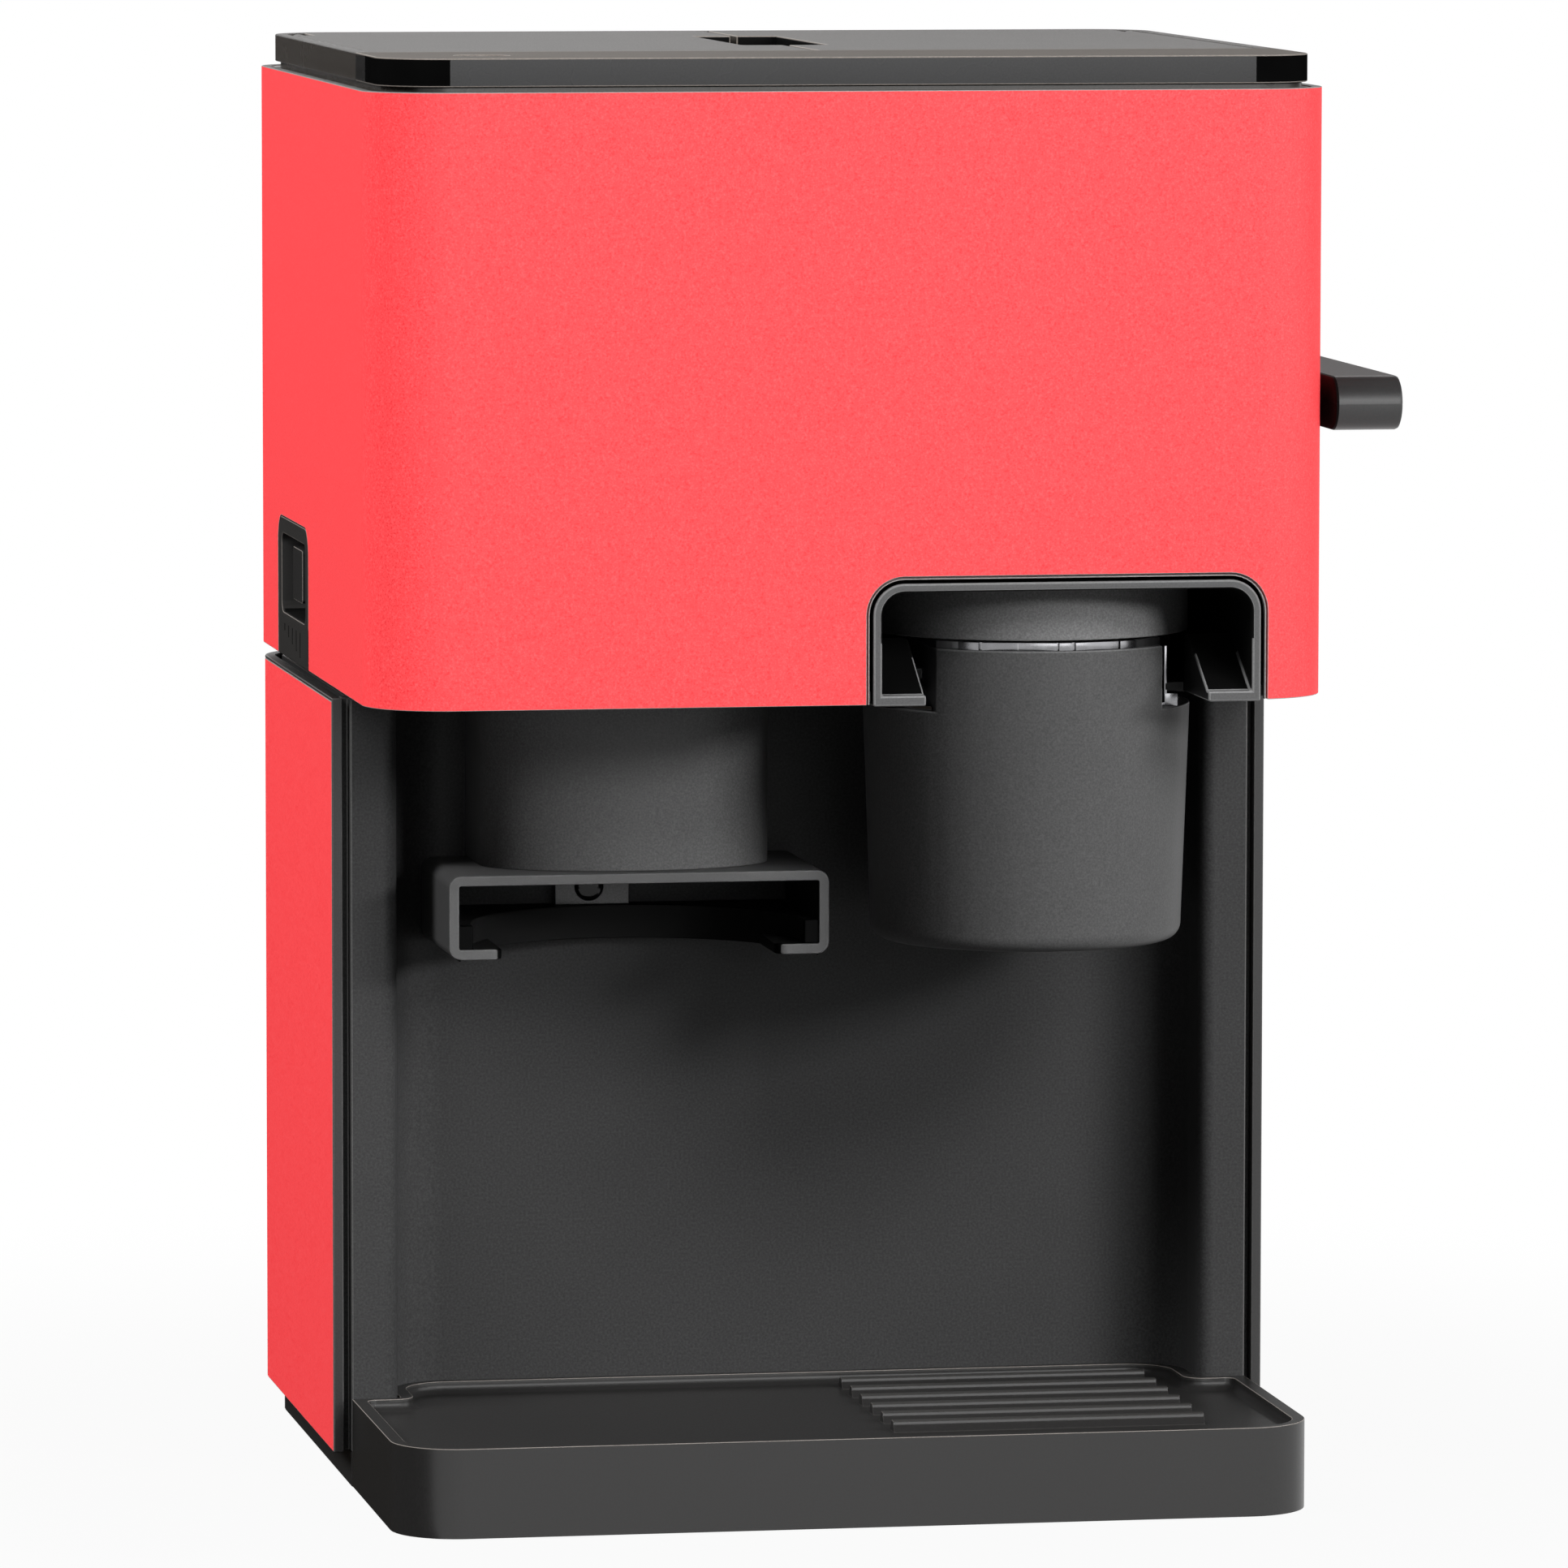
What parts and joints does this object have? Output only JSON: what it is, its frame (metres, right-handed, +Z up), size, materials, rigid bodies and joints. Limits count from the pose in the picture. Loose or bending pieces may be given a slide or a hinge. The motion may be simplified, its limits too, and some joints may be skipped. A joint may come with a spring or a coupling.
{
  "type": "bean grinding espresso machine",
  "caption": "Compact espresso machine with a red head over an open bay, a grinder dock, a removable brew cup in a framed dock, a side lever, top lids and a ribbed drip tray.",
  "frame": {"origin": "on the table, under the middle of the head's plan", "axes": "+X to the machine's right as seen from the front, +Y to its back, +Z up"},
  "size_m": [0.2595, 0.232, 0.3622],
  "materials": {
    "red_paint": "fine speckled red powder coat",
    "matte_black": "finely textured dark plastic",
    "gloss_black": "smooth dark lid plastic",
    "warm_grey": "dark brownish grey strip",
    "grey_plastic": "mid grey plastic",
    "steel": "polished stainless steel",
    "satin_steel": "plain machined steel",
    "aluminium": "cast aluminium",
    "brass": "plain brass",
    "rubber": "soft dark rubber",
    "clear_plastic": "clear moulded plastic",
    "board_green": "circuit board",
    "hose_white": "silicone hose"
  },
  "bodies": {
    "machine": {"head_shell": "red_paint", "head_floor": "matte_black", "top_deck": "matte_black", "control_panel": "warm_grey", "control_board": "board_green", "left_hinge_rod": "satin_steel", "right_hinge_rod": "satin_steel", "slider_insert": "matte_black", "brew_dock": "matte_black", "brew_head": "matte_black", "shaft_bushes": "brass", "shaft_bracket": "grey_plastic", "grinder_column": "matte_black", "grinder_dock": "matte_black", "sensor_bracket": "grey_plastic", "cup_sensor": "gloss_black", "grounds_chute": "matte_black", "grinder_housing": "matte_black", "grinder_motor": "satin_steel", "bean_hopper": "matte_black", "body_frame": "matte_black", "rear_panel": "matte_black", "rear_skin": "red_paint", "inlet_socket": "matte_black", "water_tank": "clear_plastic", "base": "matte_black", "feet": "rubber", "base_screws": "satin_steel", "filler_funnel": "matte_black", "pump": "grey_plastic", "thermoblock": "aluminium", "suction_hose": "hose_white", "pressure_hose": "hose_white", "brew_pipe": "brass"},
    "left_lid": {"left_lid": "gloss_black"},
    "right_lid": {"right_lid": "gloss_black"},
    "power_button": {"power_button": "gloss_black"},
    "grind_slider": {"grind_slider": "matte_black"},
    "adjuster": {"adjust_ring": "grey_plastic", "upper_burr": "satin_steel"},
    "burr_drive": {"lower_burr": "satin_steel", "burr_sweeper": "grey_plastic", "burr_shaft": "satin_steel"},
    "lever": {"lever": "matte_black", "lever_shaft": "satin_steel", "drive_pinion": "satin_steel"},
    "piston": {"brew_piston": "matte_black", "shower_screen": "steel", "piston_seal": "rubber", "piston_rack": "satin_steel"},
    "cup": {"brew_cup": "matte_black", "cup_collar": "steel", "cup_basket": "steel", "cup_sieve": "steel"},
    "drip_tray": {"drip_tray": "matte_black"}
  },
  "joints": [
    {"name": "left_lid_hinge", "type": "hinge", "parent": "machine", "child": "left_lid", "pos_m": [-0.1106, 0.02, 0.3597], "axis": [0, -1, 0], "range_deg": [0, 90]},
    {"name": "right_lid_hinge", "type": "hinge", "parent": "machine", "child": "right_lid", "pos_m": [0.1106, 0.02, 0.3597], "axis": [0, 1, 0], "range_deg": [0, 90]},
    {"name": "power_press", "type": "slide", "parent": "machine", "child": "power_button", "axis": [0, 0, -1], "range_m": [0, 0.001], "stiffness_N_per_m": 400},
    {"name": "grind_setting", "type": "slide", "parent": "machine", "child": "grind_slider", "axis": [0, 1, 0], "range_m": [-0.008, 0.012]},
    {"name": "burr_adjust", "type": "hinge", "parent": "machine", "child": "adjuster", "pos_m": [-0.0452, -0.012, 0.266], "axis": [0, 0, 1], "range_deg": [-7.6, 5.1]},
    {"name": "burr_spin", "type": "hinge", "parent": "machine", "child": "burr_drive", "pos_m": [-0.0452, -0.012, 0.23], "axis": [0, 0, 1], "continuous": true},
    {"name": "lever_turn", "type": "hinge", "parent": "machine", "child": "lever", "pos_m": [0.13, -0.008, 0.2754], "axis": [1, 0, 0], "range_deg": [0, 60]},
    {"name": "piston_press", "type": "slide", "parent": "machine", "child": "piston", "axis": [0, 0, -1], "range_m": [0, 0.0119]},
    {"name": "cup_slide", "type": "slide", "parent": "machine", "child": "cup", "axis": [0, -1, 0], "range_m": [0, 0.11]},
    {"name": "tray_slide", "type": "slide", "parent": "machine", "child": "drip_tray", "axis": [0, -1, 0], "range_m": [0, 0.12]}
  ],
  "couplings": [
    {"joint": "burr_adjust", "follows": "grind_setting", "rad_per_m": -10.76},
    {"joint": "piston_press", "follows": "lever_turn", "m_per_rad": 0.01125}
  ]
}
